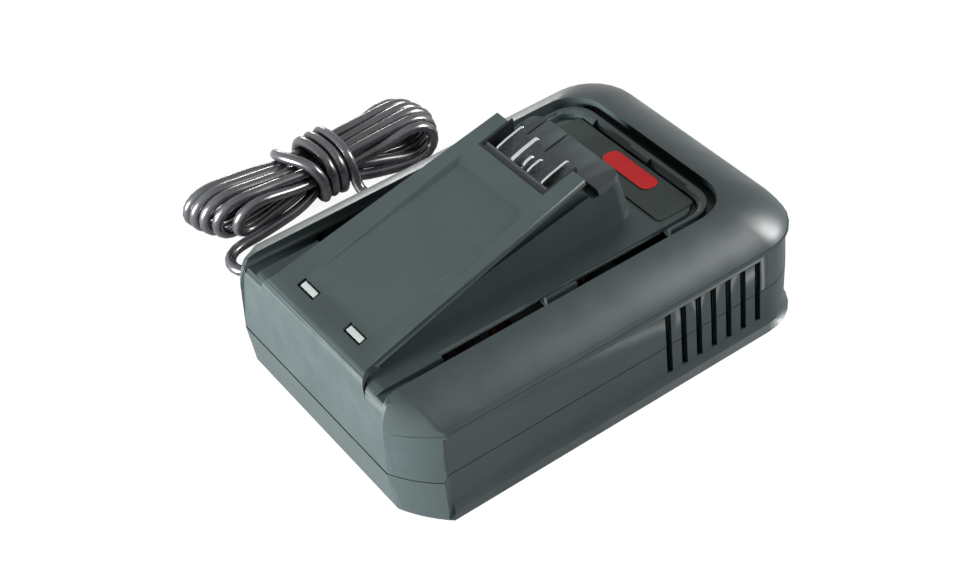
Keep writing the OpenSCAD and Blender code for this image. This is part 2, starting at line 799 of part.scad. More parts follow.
module pocket_plate() color([0.34, 0.36, 0.36]) {
    plate(floor_top, floor_top + 0.5, outline(plate_half, -plate_front, plate_rear, 2, 2, 3));
}

module pocket_stripe() color([0.75, 0.1, 0.1]) {
    translate([stripe_side, 0, 0]) plate(floor_top + 0.5, floor_top + 0.8,
        outline(14, -plate_front - 7, plate_rear - 2.4, 3, 3, 4));
}

// ---- Power board ----

module circuit_board() color([0.05, 0.3, 0.15]) {
    difference() {
        block([-board_half, board_half], [board_front, board_rear], [board_bottom, board_top]);
        for (p = pin_places) translate([p[0], p[1], board_bottom - 1])
            cylinder(h = 4, r = 1.4, $fn = 24);
    }
}

module on_board(x, y) {
    translate([x, y, board_top]) children();
}

module transformer_core() color([0.15, 0.15, 0.16]) {
    on_board(0, -8) difference() {
        block([-19, 19], [-8, 8], [0, 30]);
        both_sides() block([6.5, 14], [-10, 10], [5, 25]);
    }
}

module transformer_winding() color([0.85, 0.7, 0.15]) {
    on_board(0, -8) difference() {
        block([-13.8, 13.8], [-14, 14], [5.2, 24.8]);
        block([-6.6, 6.6], [-8.1, 8.1], [4, 26]);
    }
}

// Can capacitor with a rolled groove near its foot
module capacitor(x, y, radius, height) color([0.1, 0.12, 0.3]) {
    on_board(x, y) rotate_extrude($fn = 40) polygon([
        [0, 0], [radius, 0], [radius, 1.6], [radius - 0.4, 2.1], [radius, 2.6], [radius, height - 0.6],
        [radius - 0.6, height], [0, height]]);
}

module bulk_capacitor() {
    capacitor(-33, -38, 11, 31);
}

module output_capacitor(y) {
    capacitor(36, y, 6, 22);
}

module line_choke() color([0.45, 0.25, 0.1]) {
    on_board(-34, 20) {
        translate([0, 0, 11]) rotate([90, 0, 0])
            rotate_extrude($fn = 32) translate([7.5, 0]) circle(r = 3.5, $fn = 16);
        block([-9, 9], [-5, 5], [0, 1.5]);
    }
}

module line_filter() color([0.8, 0.65, 0.1]) {
    on_board(-38, -8) block([-6, 6], [-9, 9], [0, 15]);
}

// Glass fuse on its two end clips
module fuse() color([0.8, 0.8, 0.75]) {
    on_board(-47.2, -24) {
        translate([0, 0, 3]) rotate([-90, 0, 0]) cylinder(h = 20, r = 2.5, $fn = 24);
        for (y = [2, 18]) block([-2, 2], [y - 1.5, y + 1.5], [0, 2]);
    }
}

module bridge_rectifier() color(black) {
    on_board(-9, -34) block([-10, 10], [-2, 2], [0, 15]);
}

module control_chip() color(black) {
    on_board(24, 26) block([-5, 5], [-4, 4], [0, 2.6]);
}

// Upright aluminium plate with fins on one side
module heat_sink(x, y) color([0.7, 0.72, 0.74]) {
    on_board(x, y) {
        block([-1, 1], [-15, 15], [0, 28]);
        for (z = [4 : 6 : 28]) block([-7, 0], [-15, 15], [z - 0.6, z + 0.6]);
    }
}

// Switching part on three legs, with its tab against the heat sink beside it
module package(x, y) color(black) {
    on_board(x, y) {
        block([0, 4.5], [-5, 5], [8, 17]);
        block([0, 1.3], [-5, 5], [17, 23]);
        for (s = [-2.5, 0, 2.5]) block([1.6, 2.4], [s - 0.4, s + 0.4], [0, 8]);
    }
}

// ---- Cord entry ----

// End of the cord inside the case, with its two conductors down to the board
module cord_tail() color(black) {
    translate([-exit_wall + 5.5, exit_along, exit_height]) rotate([0, 90, 0])
        cylinder(h = tail_end + exit_wall - 5.5, r = cord_radius, $fn = 24);
    for (s = [1, -1]) translate([tail_end - 1, exit_along + s * 1.2, exit_height - 0.6]) {
        rotate([0, 90, 0]) cylinder(h = 3, r = 0.7, $fn = 16);
        translate([2.3, 0, board_top - exit_height + 0.6])
            cylinder(h = exit_height - board_top, r = 0.7, $fn = 16);
    }
}

// Bridge that presses the cord on two posts of the base
module cord_clamp() color(black) {
    translate([clamp_along, exit_along, 0]) difference() {
        block([-4, 4], [-13, 13], [exit_height - cord_radius, exit_height + cord_radius + 1.6]);
        translate([0, 0, exit_height]) rotate([0, 90, 0])
            cylinder(h = 20, r = clamp_bore, center = true, $fn = 24);
        block([-5, 5], [-clamp_bore, clamp_bore], [exit_height - cord_radius - 1, exit_height]);
        for (s = [1, -1]) translate([0, s * clamp_screw_spread, 0]) cylinder(h = 40, r = 1.3, $fn = 24);
    }
}

module clamp_screw(side) color(steel) {
    head = exit_height + cord_radius + 1.6;
    translate([clamp_along, exit_along + side * clamp_screw_spread, 0]) {
        translate([0, 0, foot_lift + 4]) cylinder(h = head - foot_lift - 4, r = 1.05, $fn = 24);
        translate([0, 0, head]) cylinder(h = 1.8, r = 2.5, $fn = 24);
    }
}

// Sleeve with two flanges that hold it in the case wall, and ribs that let it bend
module strain_relief() color(black) {
    translate([-exit_wall, exit_along, exit_height]) rotate([0, -90, 0]) rotate_extrude($fn = 32)
        polygon(concat(
            [[0, -5.5], [6.2, -5.5], [6.2, -3.4], [4.9, -3.4], [4.9, 0.1], [6.8, 0.1], [6.8, 1.6],
             [4.6, 2]],
            [for (i = [0 : 3]) let (z = 3 + i * 2.9, r = 4.5 - i * 0.3)
             each [[r, z], [r, z + 1.3], [r - 0.9, z + 1.5], [r - 0.9, z + 2.7]]],
            [[cord_radius + 0.6, 14.5], [0, 14.5]]));
}

// ---- Screws and feet ----

module case_screw(i) color(steel) {
    translate([screw_places[i][0], screw_places[i][1], 0]) difference() {
        union() {
            translate([0, 0, screw_seat - 2.4]) cylinder(h = 2.4, r = 3, $fn = 32);
            translate([0, 0, screw_seat]) cylinder(h = joint_height + 10 - screw_seat,
                                                   r = screw_radius, $fn = 32);
        }
        for (a = [0, 90]) translate([0, 0, screw_seat - 2.4]) rotate([0, 0, a])
            cube([3.4, 0.7, 1.8], center = true);
    }
}

module foot(i) color([0.1, 0.1, 0.1]) {
    translate([foot_places[i][0], foot_places[i][1], 0]) rotate_extrude($fn = 40)
        polygon([[0, 0], [foot_radius - 0.6, 0], [foot_radius, 0.6],
                 [foot_radius, foot_lift + foot_depth], [0, foot_lift + foot_depth]]);
}

// ---- Mains cord, hank and plug ----

module mains_cord() color(black) {
    tube(cord_route, cord_radius, 2, cord_sides);
}

module plug_cord() color(black) {
    tube(plug_route, cord_radius, 2, cord_sides);
}

// The folded cord: one flat loop of many turns, tied round its middle
module cord_hank() color(black) {
    translate([hank_center[0], hank_center[1], 0]) {
        linear_extrude(hank_height) polygon(outline(hank_width / 2, hank_length / 2, hank_length / 2,
                                                    hank_width / 2 - 0.5, hank_width / 2 - 0.5, 8));
        translate([0, tie_along + tie_length / 2, 0]) rotate([90, 0, 0]) linear_extrude(tie_length)
            polygon(concat(arc([tie_width / 2 - 8, tie_height - 8], 8, 0, 90, 4),
                           arc([-tie_width / 2 + 8, tie_height - 8], 8, 90, 180, 4),
                           [[-tie_width / 2, 0.2], [tie_width / 2, 0.2]]));
    }
}

// Flat two-pin plug: narrow at the cord, wide at its face
module plug_body() color(black) {
    waist = 8;
    side = [for (t = [0 : 0.125 : 1])
            [waist + (plug_width / 2 - waist) * (0.5 - 0.5 * cos(180 * min(1, t * 1.4))),
             t * (plug_length - 2)]];
    translate([plug_place[0], plug_place[1], 0]) intersection() {
        linear_extrude(plug_thick) polygon(concat(
            side, [[plug_width / 2, plug_length - 2], [plug_width / 2 - 2, plug_length],
                   [-plug_width / 2 + 2, plug_length], [-plug_width / 2, plug_length - 2]],
            [for (i = [8 : -1 : 0]) [-side[i][0], side[i][1]]]));
        rotate([90, 0, 0]) translate([0, 0, -plug_length - 1]) linear_extrude(plug_length + 2)
            polygon(concat(arc([plug_width / 2 - 4, plug_thick - 4], 4, 0, 90, 5),
                           arc([-plug_width / 2 + 4, plug_thick - 4], 4, 90, 180, 5),
                           arc([-plug_width / 2 + 4, 4], 4, 180, 270, 5),
                           arc([plug_width / 2 - 4, 4], 4, 270, 360, 5)));
    }
}

module plug_pin(side) color(steel) {
    translate([plug_place[0] + side * pin_spread, plug_place[1] + plug_length, plug_thick / 2])
        rotate([-90, 0, 0]) rotate_extrude($fn = 32) polygon([
            [0, 0], [pin_radius, 0], [pin_radius, pin_length - 1.2], [pin_radius - 1, pin_length],
            [0, pin_length]]);
}

lower_housing();
upper_housing();
contact_frame();
contact_block();
blade(0);  // blade_1
blade(1);  // blade_2
blade(2);  // blade_3
blade(3);  // blade_4
blade(4);  // blade_5
contact_board();
contact_lead();
lamp_window(-1);  // lamp_window_left
lamp_window(1);  // lamp_window_right
lamp(-1);  // lamp_left
lamp(1);  // lamp_right
lamp_board();
pocket_plate();
pocket_stripe();
circuit_board();
transformer_core();
transformer_winding();
bulk_capacitor();
output_capacitor(-8);  // output_capacitor_1
output_capacitor(8);  // output_capacitor_2
line_choke();
line_filter();
fuse();
bridge_rectifier();
heat_sink(-10, 26);  // heat_sink_input
heat_sink(22, -44);  // heat_sink_output
package(-9, 26);  // power_switch
package(23, -44);  // output_diode
control_chip();
cord_clamp();
clamp_screw(1);  // clamp_screw_1
clamp_screw(-1);  // clamp_screw_2
cord_tail();
strain_relief();
foot(0);  // foot_1
foot(1);  // foot_2
foot(2);  // foot_3
foot(3);  // foot_4
case_screw(0);  // case_screw_1
case_screw(1);  // case_screw_2
case_screw(2);  // case_screw_3
case_screw(3);  // case_screw_4
mains_cord();
cord_hank();
plug_cord();
plug_body();
plug_pin(-1);  // plug_pin_left
plug_pin(1);  // plug_pin_right
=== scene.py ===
import json
import math
import bpy
import numpy as np
from mathutils import Matrix, Vector


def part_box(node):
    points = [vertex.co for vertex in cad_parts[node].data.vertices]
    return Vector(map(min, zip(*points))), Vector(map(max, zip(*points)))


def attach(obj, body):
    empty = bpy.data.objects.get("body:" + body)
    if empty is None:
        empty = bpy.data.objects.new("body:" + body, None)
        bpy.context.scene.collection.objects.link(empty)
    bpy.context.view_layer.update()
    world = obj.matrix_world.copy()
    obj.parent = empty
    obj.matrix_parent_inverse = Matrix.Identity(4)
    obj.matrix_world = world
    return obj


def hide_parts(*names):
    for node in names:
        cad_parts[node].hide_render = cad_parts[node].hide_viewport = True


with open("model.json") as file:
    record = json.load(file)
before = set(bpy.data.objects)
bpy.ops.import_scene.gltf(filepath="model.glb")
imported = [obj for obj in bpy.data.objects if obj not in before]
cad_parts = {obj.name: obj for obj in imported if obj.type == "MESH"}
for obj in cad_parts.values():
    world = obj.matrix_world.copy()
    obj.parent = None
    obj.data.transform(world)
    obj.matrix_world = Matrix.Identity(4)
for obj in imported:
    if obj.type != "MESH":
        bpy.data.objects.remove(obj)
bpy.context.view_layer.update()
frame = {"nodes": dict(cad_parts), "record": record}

nodes = frame["nodes"]
scene = bpy.context.scene
mm = 0.001

# the camera
view = {
    "place": (458.737, -289.590, 508.782),  # mm
    "right": (0.58068987, 0.80949296, -0.0867204),
    "up": (-0.509912, 0.44467329, 0.73637994),
    "back": (0.63465662, -0.3833886, 0.67098745),
    "lens": 68.39,
    "sensor": 36,
    "farthest": 30,  # m
}
cameraData = bpy.data.cameras.new("camera")
cameraData.lens = view["lens"]
cameraData.sensor_width = view["sensor"]
cameraData.sensor_fit = "HORIZONTAL"
cameraData.clip_end = view["farthest"]
camera = bpy.data.objects.new("camera", cameraData)
scene.collection.objects.link(camera)
camera.matrix_world = Matrix.Translation(Vector(view["place"]) * mm) @ Matrix(
    (view["right"], view["up"], view["back"])).transposed().to_4x4()
scene.camera = camera
scene.view_settings.view_transform = "Standard"

# the cord's path in mm: a lead, six turns, the tie of three and a half wraps, a lead to the plug
cordInfo = {
    "diameter": 4.8,
    "exit": (-80.25, -30, 12),
    "lead": [(-80.25, -30, 12), (-85.5, -30.3, 11.8), (-90.8, -34, 9.8), (-94.2, -42, 6.4),
             (-95.3, -52, 3.2), (-95.4, -62, 2.4), (-98.5, -70, 2.4), (-105.5, -73, 2.4),
             (-112.5, -70, 2.4), (-115.4, -62, 2.4)],
    # each turn stands on edge: its x, tip and top height at the front lobe, the same at the
    # rear lobe, and its x, lower and upper height where the tie holds it
    "turns": [(-114.8, -62, 20.5, -113.0, 37.0, 20.5, -120.8, 7.3, 12.1),
              (-119.9, -69, 22.0, -117.9, 39.5, 21.0, -120.8, 12.1, 16.9),
              (-125.0, -72, 23.0, -122.8, 41.0, 21.5, -125.6, 7.3, 16.9),
              (-130.1, -74, 23.0, -127.7, 40.5, 21.5, -130.4, 7.3, 16.9),
              (-135.2, -75, 22.0, -132.6, 39.5, 21.0, -135.2, 12.1, 16.9),
              (-140.0, -72, 20.5, -136.6, 37.0, 20.0, -135.2, 7.3, 12.1)],
    "tieMiddle": (-128, -13.0),
    "overTheTop": [(-136.5, -19, 13.5), (-137.5, -25.5, 15.5), (-135, -30, 19.5),
                   (-129.5, -29, 23.0), (-123, -25, 22.5)],
    "wraps": 3.5,
    "wrapPitch": 5.1,
    "wrapHalf": (12.2, 9.7),  # half width and half height of a wrap
    "wrapMiddle": 12.1,
    "wrapPoints": 16,  # in each wrap
    "firstWrapPoint": 7,  # the cord comes to the wraps from above
    "tail": [(-110.5, -6.5, 3.4), (-104.5, -2.5, 2.4), (-98, 5, 3), (-92, 13.5, 5),
             (-88.6, 21, 6.7), (-88, 27, 6.8)],
    "splineSteps": 8,  # between two points of the list
    "spacing": 3.0,
    "roundness": 5,  # segments of a quarter of the cord's round section
}


def turnPoints(turn, nextTurn):
    # along the floor to the rear, up round the rear fold, back on top and down at the front
    frontX, frontTip, frontTop, rearX, rearTip, rearTop, tieX, tieLow, tieHigh = turn
    floorLevel = cordInfo["diameter"] / 2
    tieY = cordInfo["tieMiddle"][1]
    # the radius of each fold, and the cosine and sine of 45 degrees for the points on it
    frontFold, rearFold = (frontTop - floorLevel) / 2, (rearTop - floorLevel) / 2
    slant = math.sqrt(0.5)
    points = []
    for high in (False, True):
        front = (frontX, frontTip + frontFold, frontTop if high else floorLevel)
        rear = (rearX, rearTip - rearFold, rearTop if high else floorLevel)
        held = (tieX, tieY, tieHigh if high else tieLow)
        nearFront = [0.5 * (a + b) for a, b in zip(front, held)]
        nearRear = [0.45 * a + 0.55 * b for a, b in zip(rear, held)]
        run = [front, nearFront, held, nearRear, rear]
        points += run[::-1] if high else run + [
            (rearX, rearTip - rearFold * (1 - c), floorLevel + rearFold * (1 + s))
            for c, s in ((slant, -slant), (1, 0), (slant, slant))]
    for share, c, s in ((0.25, slant, slant), (0.5, 1, 0), (0.75, slant, -slant)):
        points.append((frontX + share * (nextTurn[0] - frontX), frontTip + frontFold * (1 - c),
                       floorLevel + frontFold * (1 + s)))
    return points


def wrapPoint(turn):
    # over the bundle to the right and back under it to the left
    angle = math.pi - 2 * math.pi * turn
    wide, tall = cordInfo["wrapHalf"]
    middleX, middleY = cordInfo["tieMiddle"]
    return (middleX + wide * math.cos(angle),
            middleY + (turn - cordInfo["wraps"] / 2) * cordInfo["wrapPitch"],
            cordInfo["wrapMiddle"] + tall * math.sin(angle))


def splineThrough(points, steps):
    # a Catmull-Rom spline
    p = [np.array(q, float) for q in points]
    p = [2 * p[0] - p[1]] + p + [2 * p[-1] - p[-2]]
    line = []
    for i in range(1, len(p) - 2):
        for k in range(steps):
            t = k / steps
            line.append(0.5 * (2 * p[i] + (p[i + 1] - p[i - 1]) * t
                               + (2 * p[i - 1] - 5 * p[i] + 4 * p[i + 1] - p[i + 2]) * t * t
                               + (3 * p[i] - p[i - 1] - 3 * p[i + 1] + p[i + 2]) * t ** 3))
    line.append(p[-2])
    return line


def evenly(line, spacing):
    # points at one distance from each other along the same line
    line = np.array(line)
    along = np.concatenate([[0], np.cumsum(np.linalg.norm(np.diff(line, axis=0), axis=1))])
    count = int(round(along[-1] / spacing)) + 1
    at = np.linspace(0, along[-1], count)
    return np.stack([np.interp(at, along, line[:, k]) for k in range(3)], 1)


def cordLength(line):
    return float(np.linalg.norm(np.diff(line, axis=0), axis=1).sum())


laying = {
    "steps": 110,
    "clear": 1.01,  # how far apart strands are pushed, in diameters
    "neighbours": 6,  # points no farther along the cord than this aren't pushed apart
    "heldEnds": 8,  # points at each end that stay in place
    "share": 0.5,  # of the overlap, for each of two strands
    "hurry": 1.3,
    "stiffness": 0.6,
    "sink": 0.004,  # mm in each step
    "evenEvery": 15,  # steps
}


def layCord():
    # the laid turns are pushed apart until none lies in another, and stay smooth
    turns = cordInfo["turns"]
    hank = []
    for k, turn in enumerate(turns):
        hank += turnPoints(turn, turns[min(k + 1, len(turns) - 1)])
    # the lead ends at the first turn's first point, and the last turn ends in the tie
    pastTie = 5
    hank = hank[1:-pastTie]
    inWrap = cordInfo["wrapPoints"]
    wraps = [wrapPoint(k / inWrap) for k in range(cordInfo["firstWrapPoint"],
                                                  int(inWrap * cordInfo["wraps"]) - 1)]
    rough = cordInfo["lead"] + hank + cordInfo["overTheTop"] + wraps + cordInfo["tail"]
    line = evenly(splineThrough(rough, cordInfo["splineSteps"]), cordInfo["spacing"])
    radius, wanted = cordInfo["diameter"] / 2, cordInfo["diameter"] * laying["clear"]
    count, held = len(line), laying["heldEnds"]
    apart = np.abs(np.arange(count)[:, None] - np.arange(count)[None, :])
    tested = apart > laying["neighbours"]
    free = np.ones((count, 1))
    free[:held] = 0
    free[-held:] = 0
    for step in range(laying["steps"]):
        gaps = line[:, None, :] - line[None, :, :]
        far = np.sqrt((gaps ** 2).sum(2)) + 1e-9
        close = tested & (far < wanted)
        push = np.where(close, (wanted - far) / far, 0)[:, :, None] * gaps
        pushed = push.sum(1) * laying["share"] / np.maximum(close.sum(1), 1)[:, None]
        # the fourth difference along the line, which is largest where the line is jagged
        bend = np.zeros_like(line)
        bend[2:-2] = -(line[:-4] - 4 * line[1:-3] + 6 * line[2:-2] - 4 * line[3:-1] + line[4:]) / 16
        line = line + free * (pushed * laying["hurry"] + laying["stiffness"] * bend)
        line[held:-held, 2] = np.maximum(line[held:-held, 2] - laying["sink"], radius)
        if (step + 1) % laying["evenEvery"] == 0:
            line[held:-held] = evenly(line, cordLength(line) / (count - 1))[held:-held]
    return line


cordLine = layCord()
cordCurve = bpy.data.curves.new("mainsCord", "CURVE")
cordCurve.dimensions = "3D"
cordCurve.bevel_depth = cordInfo["diameter"] / 2 * mm
cordCurve.bevel_resolution = cordInfo["roundness"]
cordCurve.use_fill_caps = True
cordSpline = cordCurve.splines.new("POLY")
cordSpline.points.add(len(cordLine) - 1)
for point, place in zip(cordSpline.points, cordLine):
    point.co = (*(place * mm), 1)
cordSpline.use_smooth = True
mainsCord = bpy.data.objects.new("mainsCord", cordCurve)
scene.collection.objects.link(mainsCord)
bpy.ops.object.select_all(action="DESELECT")
mainsCord.select_set(True)
bpy.context.view_layer.objects.active = mainsCord
bpy.ops.object.convert(target="MESH")
mainsCord = bpy.context.object
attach(mainsCord, "root")
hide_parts("mains_cord", "cord_hank", "plug_cord")
print("cord laid:", round(cordLength(cordLine)), "mm,", len(cordLine), "points")


# materials
class Finish:
    # a Principled surface with the few nodes that its details need
    def __init__(self, name, colour, roughness, **values):
        self.material = bpy.data.materials.new(name)
        self.material.use_nodes = True
        tree = self.material.node_tree
        tree.nodes.clear()
        self.nodes, self.links = tree.nodes, tree.links
        self.shader = self.nodes.new("ShaderNodeBsdfPrincipled")
        output = self.nodes.new("ShaderNodeOutputMaterial")
        self.links.new(self.shader.outputs["BSDF"], output.inputs["Surface"])
        self.coords = self.nodes.new("ShaderNodeTexCoord")
        self.colour, self.roughness = colour, roughness
        self.shader.inputs["Base Color"].default_value = (*colour, 1)
        self.shader.inputs["Roughness"].default_value = roughness
        for key, value in values.items():
            self.shader.inputs[key].default_value = value
        self.normal = None

    def noise(self, scale, detail=2, rough=0.5, stretch=None):
        node = self.nodes.new("ShaderNodeTexNoise")
        node.inputs["Scale"].default_value = scale
        node.inputs["Detail"].default_value = detail
        node.inputs["Roughness"].default_value = rough
        source = self.coords.outputs["Object"]
        if stretch:
            mapping = self.nodes.new("ShaderNodeMapping")
            mapping.inputs["Scale"].default_value = stretch
            self.links.new(source, mapping.inputs["Vector"])
            source = mapping.outputs["Vector"]
        self.links.new(source, node.inputs["Vector"])
        return node.outputs["Fac"]

    def spread(self, source, low, high, start=0.3, end=0.7):
        node = self.nodes.new("ShaderNodeMapRange")
        node.inputs["From Min"].default_value = start
        node.inputs["From Max"].default_value = end
        node.inputs["To Min"].default_value = low
        node.inputs["To Max"].default_value = high
        self.links.new(source, node.inputs["Value"])
        return node.outputs["Result"]

    def shade(self, source, amount, start=0.3, end=0.7):
        # colour varies from darker to lighter by this share
        ramp = self.nodes.new("ShaderNodeValToRGB")
        ramp.color_ramp.elements[0].position = start
        ramp.color_ramp.elements[1].position = end
        for element, part in zip(ramp.color_ramp.elements, (1 - amount, 1 + amount)):
            element.color = (*[min(c * part, 1) for c in self.colour], 1)
        self.links.new(source, ramp.inputs["Fac"])
        self.links.new(ramp.outputs["Color"], self.shader.inputs["Base Color"])

    def sheen(self, source, amount, start=0.3, end=0.7):
        low, high = self.roughness - amount, self.roughness + amount
        self.links.new(self.spread(source, low, high, start, end),
                       self.shader.inputs["Roughness"])

    def bump(self, source, depth, strength=1.0):
        node = self.nodes.new("ShaderNodeBump")
        node.inputs["Strength"].default_value = strength
        node.inputs["Distance"].default_value = depth * mm
        self.links.new(source, node.inputs["Height"])
        if self.normal:
            self.links.new(self.normal, node.inputs["Normal"])
        self.normal = node.outputs["Normal"]
        self.links.new(self.normal, self.shader.inputs["Normal"])


def mouldedPlastic(name, colour, roughness, grain=2600, grainDepth=0.03, **values):
    # spark-eroded grain, faint flow marks and worn sheen; the depths are in mm
    finish = Finish(name, colour, roughness, **values)
    finish.shade(finish.noise(55, 4), 0.07)
    finish.sheen(finish.noise(90, 3, 0.6), 0.045)
    finish.bump(finish.noise(grain, 3, 0.6), grainDepth)
    finish.bump(finish.noise(28, 2), 0.06)
    return finish.material


def smoothPlastic(name, colour, roughness, **values):
    finish = Finish(name, colour, roughness, **values)
    finish.shade(finish.noise(70, 3), 0.08)
    finish.sheen(finish.noise(160, 3, 0.6), 0.05)
    finish.bump(finish.noise(900, 2), 0.006)
    return finish.material


def brushedMetal(name, colour, roughness, stretch):
    finish = Finish(name, colour, roughness, **{"Metallic": 1.0})
    finish.shade(finish.noise(200, 4), 0.06)
    lines = finish.noise(1400, 3, 0.7, stretch)
    finish.sheen(lines, 0.04)
    finish.bump(lines, 0.0003)
    return finish.material


caseColour = (0.0175, 0.0255, 0.0260)
materials = {
    "case": mouldedPlastic("caseGrey", caseColour, 0.38, **{"Specular IOR Level": 0.3}),
    "contact_grey": mouldedPlastic("contactGrey", (0.027, 0.0345, 0.036), 0.42, 3200, 0.015,
                                   **{"Specular IOR Level": 0.4}),
    "black_plastic": mouldedPlastic("blackPlastic", (0.005, 0.0055, 0.006), 0.45, 3000, 0.015,
                                    **{"Specular IOR Level": 0.2}),
    "blade_steel": brushedMetal("bladeSteel", (0.56, 0.585, 0.60), 0.24, (1, 0.12, 1)),
    "lamp_white": smoothPlastic("lampWhite", (0.17, 0.195, 0.185), 0.3,
                                **{"Subsurface Weight": 0.15, "Subsurface Scale": 0.002}),
    "plate_grey": smoothPlastic("plateFilm", (0.014, 0.021, 0.019), 0.42,
                                **{"Specular IOR Level": 0.2}),
    "stripe_red": smoothPlastic("stripeRed", (0.36, 0.008, 0.010), 0.45,
                                **{"Specular IOR Level": 0.2}),
    "lead_red": smoothPlastic("leadRed", (0.5, 0.06, 0.04), 0.45),
    "component_black": smoothPlastic("blackComponent", (0.02, 0.02, 0.022), 0.5),
}


def boardGreen():
    # solder mask with copper tracks showing faintly through it
    finish = Finish("boardGreen", (0.012, 0.10, 0.045), 0.32)
    tracks = finish.nodes.new("ShaderNodeTexBrick")
    tracks.inputs["Scale"].default_value = 120
    tracks.inputs["Color1"].default_value = (0.010, 0.085, 0.038, 1)
    tracks.inputs["Color2"].default_value = (0.016, 0.12, 0.055, 1)
    tracks.inputs["Mortar"].default_value = (0.025, 0.17, 0.075, 1)
    tracks.inputs["Mortar Size"].default_value = 0.03
    finish.links.new(finish.coords.outputs["Object"], tracks.inputs["Vector"])
    finish.links.new(tracks.outputs["Color"], finish.shader.inputs["Base Color"])
    finish.sheen(finish.noise(300, 3), 0.06)
    finish.bump(tracks.outputs["Fac"], 0.03)
    return finish.material


def windingTape():
    # yellow tape in overlapping bands round the windings
    finish = Finish("windingTape", (0.50, 0.30, 0.03), 0.35)
    wave = finish.nodes.new("ShaderNodeTexWave")
    wave.bands_direction = "Z"
    wave.inputs["Scale"].default_value = 55
    wave.inputs["Distortion"].default_value = 0.6
    finish.links.new(finish.coords.outputs["Object"], wave.inputs["Vector"])
    finish.shade(wave.outputs["Fac"], 0.14)
    finish.bump(wave.outputs["Fac"], 0.05)
    finish.sheen(finish.noise(200), 0.05)
    return finish.material


def coiledCopper():
    # enamelled wire wound round the choke
    finish = Finish("coiledCopper", (0.52, 0.17, 0.06), 0.3, **{"Metallic": 0.8})
    wave = finish.nodes.new("ShaderNodeTexWave")
    wave.bands_direction = "DIAGONAL"
    wave.inputs["Scale"].default_value = 260
    finish.links.new(finish.coords.outputs["Object"], wave.inputs["Vector"])
    finish.shade(wave.outputs["Fac"], 0.35, 0.1, 0.8)
    finish.bump(wave.outputs["Fac"], 0.25)
    return finish.material


def sinteredFerrite():
    finish = Finish("sinteredFerrite", (0.035, 0.035, 0.038), 0.62)
    finish.shade(finish.noise(600, 5, 0.7), 0.25)
    finish.sheen(finish.noise(250, 3), 0.08)
    finish.bump(finish.noise(1500, 4, 0.7), 0.03)
    return finish.material


def rubberFoot():
    finish = Finish("rubberFoot", (0.017, 0.017, 0.018), 0.78)
    finish.shade(finish.noise(350, 4), 0.2)
    finish.sheen(finish.noise(500, 3), 0.06)
    finish.bump(finish.noise(2200, 4, 0.7), 0.04)
    return finish.material


def glossyCord():
    # soft PVC: deep black, glossy, with a faint orange-peel skin and dust
    finish = Finish("cordBlack", (0.02, 0.021, 0.024), 0.27, **{"Specular IOR Level": 0.8})
    finish.shade(finish.noise(180, 4, 0.6), 0.25)
    finish.sheen(finish.noise(130, 3), 0.05)
    finish.bump(finish.noise(750, 2), 0.02)
    return finish.material


materials.update({
    "board_green": boardGreen(), "tape_yellow": windingTape(), "copper": coiledCopper(),
    "ferrite": sinteredFerrite(), "foot_rubber": rubberFoot(), "cord_black": glossyCord(),
    "sleeve_blue": smoothPlastic("sleeveBlue", (0.02, 0.028, 0.13), 0.3),
    "ceramic_white": smoothPlastic("ceramicWhite", (0.62, 0.60, 0.55), 0.35),
    "aluminium": brushedMetal("aluminium", (0.70, 0.71, 0.72), 0.34, (1, 1, 0.1)),
    "screw_steel": brushedMetal("screwSteel", (0.50, 0.51, 0.53), 0.3, (1, 1, 0.3)),
    "pin_brass": brushedMetal("pinNickel", (0.66, 0.64, 0.58), 0.2, (1, 0.1, 1)),
})
mainsCord.data.materials.append(materials["cord_black"])
print("materials:", len(materials))

# CAD nodes keep their shape and get the finish of their slot
slotOf = {part["node"]: part["material_slot"] for part in frame["record"]["subparts"]}
for name, node in nodes.items():
    slot = slotOf[name]
    for place in range(max(1, len(node.material_slots))):
        if len(node.material_slots) <= place:
            node.data.materials.append(materials[slot])
        else:
            node.material_slots[place].material = materials[slot]


# tools for the pieces
def deselectAll():
    if bpy.context.object and bpy.context.object.mode != "OBJECT":
        bpy.ops.object.mode_set(mode="OBJECT")
    bpy.ops.object.select_all(action="DESELECT")


def takeUp(piece):
    deselectAll()
    piece.select_set(True)
    bpy.context.view_layer.objects.active = piece


def applyModifier(piece, kind, **values):
    takeUp(piece)
    modifier = piece.modifiers.new(kind.lower(), kind)
    for key, value in values.items():
        setattr(modifier, key, value)
    bpy.ops.object.modifier_apply(modifier=modifier.name)


def settle(piece, material, replaced, smooth):
    # smooth shading, finish, body and the CAD node that the piece stands for
    takeUp(piece)
    bpy.ops.object.transform_apply(location=True, rotation=True, scale=True)
    bpy.ops.object.shade_smooth_by_angle(angle=math.radians(smooth))
    applyModifier(piece, "WEIGHTED_NORMAL", keep_sharp=True, weight=90)
    piece.data.materials.clear()
    piece.data.materials.append(material)
    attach(piece, "root")
    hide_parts(*replaced)


joining = {
    "reach": 0.01,  # mm, points nearer than this become one
    "flat": 0.6,  # degrees, faces that turn less than this become one
    "edgeAngle": 32,  # degrees, sharper edges are rounded
    "edgeSteps": 2,
}


